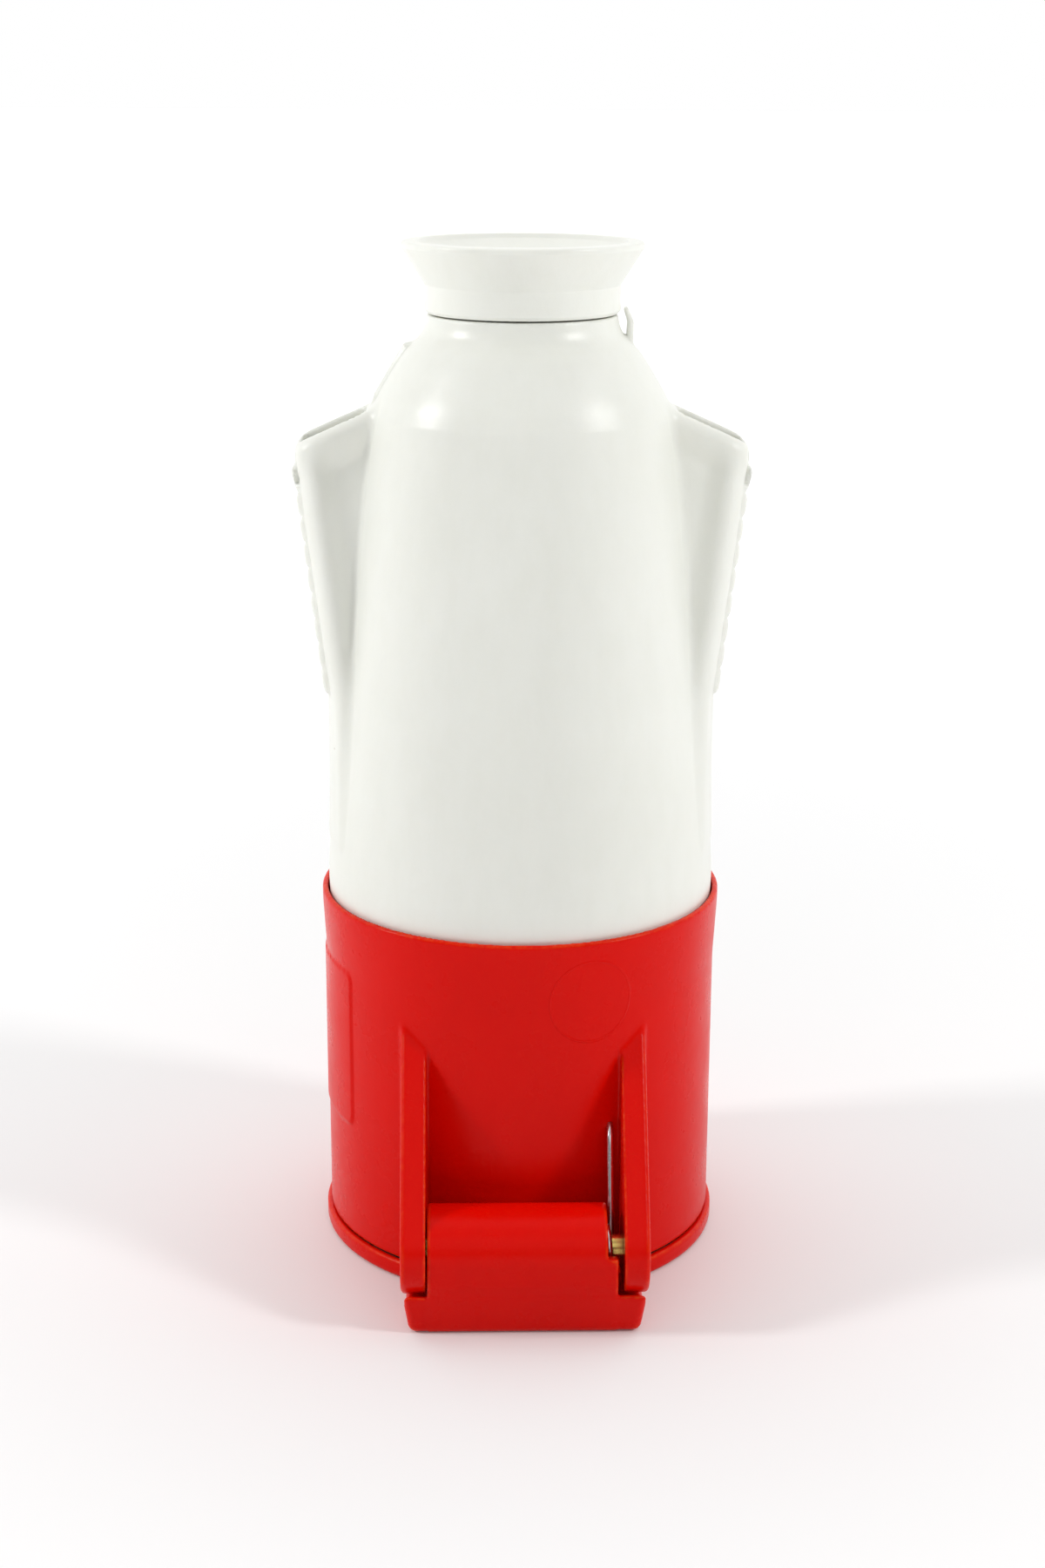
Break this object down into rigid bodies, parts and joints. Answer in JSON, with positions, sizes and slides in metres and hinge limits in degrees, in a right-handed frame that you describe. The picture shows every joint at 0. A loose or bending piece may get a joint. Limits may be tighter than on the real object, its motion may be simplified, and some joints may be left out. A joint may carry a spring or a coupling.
{
  "type": "industrial cable connector",
  "caption": "Pin-and-sleeve power connector for a cable end, with a spring-closed flap lid, a screwed cable gland and a handle with two grip wings.",
  "frame": {"origin": "centre of the closed lid's outer face, on the connector's axis", "axes": "+Z along the connector's axis from the closed lid to the cable entry, -Y towards the lid's hinge, X along the hinge pin"},
  "size_m": [0.0812, 0.0936, 0.183],
  "materials": {
    "white_plastic": "light grey-white moulded polyamide, satin",
    "red_plastic": "signal red moulded polyamide, satin gloss",
    "black_plastic": "black glass-filled polyamide",
    "natural_plastic": "natural acetal, waxy",
    "black_rubber": "moulded rubber, dull",
    "contact_brass": "turned brass",
    "pin_brass": "drawn brass rod",
    "spring_steel": "bright drawn spring wire",
    "plated_steel": "zinc plated, bright"
  },
  "bodies": {
    "connector": {"handle_housing": "white_plastic", "gland_clamp_cage": "natural_plastic", "gland_grommet": "black_rubber", "housing_seal_ring": "black_rubber", "socket_shroud": "red_plastic", "contact_insert": "black_plastic", "contact_sleeve_pe": "contact_brass", "contact_clip_pe": "spring_steel", "terminal_screw_pe": "plated_steel", "contact_sleeve_l1": "contact_brass", "contact_clip_l1": "spring_steel", "terminal_screw_l1": "plated_steel", "contact_sleeve_l2": "contact_brass", "contact_clip_l2": "spring_steel", "terminal_screw_l2": "plated_steel", "contact_sleeve_l3": "contact_brass", "contact_clip_l3": "spring_steel", "terminal_screw_l3": "plated_steel", "contact_sleeve_n": "contact_brass", "contact_clip_n": "spring_steel", "terminal_screw_n": "plated_steel", "insert_screw_1": "plated_steel", "insert_screw_2": "plated_steel", "insert_screw_3": "plated_steel", "hinge_pin": "pin_brass", "hinge_spring": "spring_steel"},
    "lid": {"hinge_lid": "red_plastic", "lid_gasket": "black_rubber"},
    "thrust_ring": {"gland_thrust_ring": "natural_plastic"},
    "nut": {"gland_nut": "white_plastic"}
  },
  "joints": [
    {"name": "lid_turn", "type": "hinge", "parent": "connector", "child": "lid", "pos_m": [0, -0.0442, 0.0139], "axis": [-1, 0, 0], "range_deg": [0, 100], "stiffness_Nm_per_rad": 0.08, "springref_deg": -45.84, "deforming": ["hinge_spring"]},
    {"name": "nut_rise", "type": "slide", "parent": "connector", "child": "thrust_ring", "axis": [0, 0, 1], "range_m": [0, 0.0045]},
    {"name": "nut_turn", "type": "hinge", "parent": "thrust_ring", "child": "nut", "pos_m": [0, 0, 0.175], "axis": [0, 0, 1], "range_deg": [0, 540]}
  ],
  "couplings": [
    {"joint": "nut_rise", "follows": "nut_turn", "m_per_rad": 0.00047746}
  ]
}
